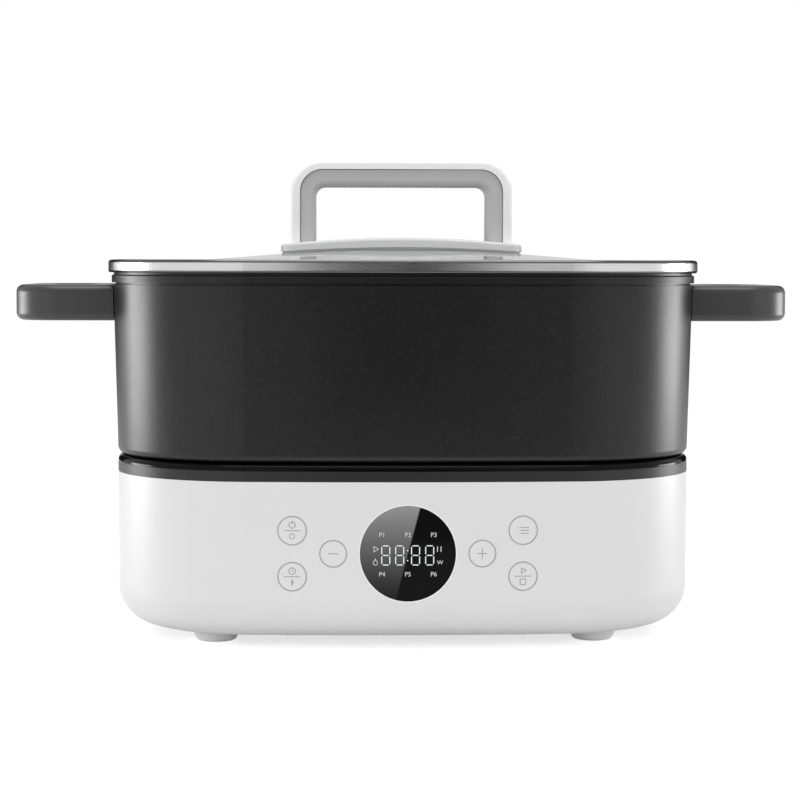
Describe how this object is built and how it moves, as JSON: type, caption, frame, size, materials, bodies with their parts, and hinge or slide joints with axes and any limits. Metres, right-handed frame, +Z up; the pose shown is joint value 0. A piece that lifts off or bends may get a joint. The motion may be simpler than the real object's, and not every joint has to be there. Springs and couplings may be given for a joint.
{
  "type": "slow cooker",
  "caption": "Table-top slow cooker: rounded heated base with round display and push keys, lift-out coated pot with side handles, and a rimmed glass lid with a bridge handle.",
  "frame": {"origin": "centre of the footprint on the table, under the feet", "axes": "+Z up, front with the display faces -Y, +X to the viewer's right"},
  "size_m": [0.4206, 0.2596, 0.2563],
  "materials": {
    "white_plastic": "satin",
    "grey_trim": "satin",
    "black_gloss": "gloss",
    "black_satin": "satin",
    "coated_aluminium": "dark satin coat",
    "plain_aluminium": "machined",
    "steel": "brushed",
    "clear_glass": "polished",
    "light_grey": "satin",
    "mid_grey": "satin",
    "dark_rubber": "matt",
    "pale_rubber": "matt",
    "board_green": "satin",
    "part_grey": "matt",
    "part_yellow": "matt",
    "brass": "bare",
    "lead_skin": "matt"
  },
  "bodies": {
    "base": {"base_shell": "white_plastic", "bottom_cover": "white_plastic", "front_left_foot": "pale_rubber", "front_right_foot": "pale_rubber", "rear_left_foot": "pale_rubber", "rear_right_foot": "pale_rubber", "cover_screws": "steel", "trim_band": "grey_trim", "top_deck": "black_gloss", "heating_plate": "plain_aluminium", "heater_tube": "steel", "plate_seal": "dark_rubber", "heat_shield": "steel", "plate_posts": "steel", "shield_screws": "steel", "post_screws": "steel", "sensor_holder": "part_grey", "power_board": "board_green", "board_screws": "steel", "transformer": "part_yellow", "relay": "part_grey", "capacitor": "part_yellow", "board_fuse": "clear_glass", "terminal_strip": "part_grey", "display_board": "board_green", "display_screws": "steel", "display_module": "part_grey", "key_switches": "part_grey", "display_lens": "black_gloss", "inlet_housing": "black_satin", "inlet_pins": "brass", "inlet_screws": "steel", "heater_leads": "lead_skin", "mains_leads": "lead_skin"},
    "pot": {"pot_body": "coated_aluminium", "handle_lugs": "plain_aluminium", "left_handle": "black_satin", "right_handle": "black_satin", "handle_screws": "steel"},
    "lid": {"lid_glass": "clear_glass", "lid_rim": "steel", "handle_plate": "light_grey", "plate_gasket": "dark_rubber", "handle_cover": "light_grey", "handle_grip": "mid_grey", "lid_washers": "dark_rubber", "lid_screws": "steel"},
    "probe": {"sensor_probe": "plain_aluminium", "sensor_spring": "steel"},
    "power_button": {"power_key": "white_plastic"},
    "timer_button": {"timer_key": "white_plastic"},
    "minus_button": {"minus_key": "white_plastic"},
    "plus_button": {"plus_key": "white_plastic"},
    "mode_button": {"mode_key": "white_plastic"},
    "start_button": {"start_key": "white_plastic"}
  },
  "joints": [
    {"name": "pot_lift", "type": "slide", "parent": "base", "child": "pot", "axis": [0, 0, 1], "range_m": [0, 0.15]},
    {"name": "lid_lift", "type": "slide", "parent": "pot", "child": "lid", "axis": [0, 0, 1], "range_m": [0, 0.12]},
    {"name": "probe_press", "type": "slide", "parent": "base", "child": "probe", "axis": [0, 0, 1], "range_m": [-0.0025, 0], "stiffness_N_per_m": 400, "springref_m": 0.002, "deforming": ["sensor_spring"]},
    {"name": "power_press", "type": "slide", "parent": "base", "child": "power_button", "axis": [0, 1, 0], "range_m": [0, 0.0005], "stiffness_N_per_m": 300},
    {"name": "timer_press", "type": "slide", "parent": "base", "child": "timer_button", "axis": [0, 1, 0], "range_m": [0, 0.0005], "stiffness_N_per_m": 300},
    {"name": "minus_press", "type": "slide", "parent": "base", "child": "minus_button", "axis": [0, 1, 0], "range_m": [0, 0.0005], "stiffness_N_per_m": 300},
    {"name": "plus_press", "type": "slide", "parent": "base", "child": "plus_button", "axis": [0, 1, 0], "range_m": [0, 0.0005], "stiffness_N_per_m": 300},
    {"name": "mode_press", "type": "slide", "parent": "base", "child": "mode_button", "axis": [0, 1, 0], "range_m": [0, 0.0005], "stiffness_N_per_m": 300},
    {"name": "start_press", "type": "slide", "parent": "base", "child": "start_button", "axis": [0, 1, 0], "range_m": [0, 0.0005], "stiffness_N_per_m": 300}
  ]
}
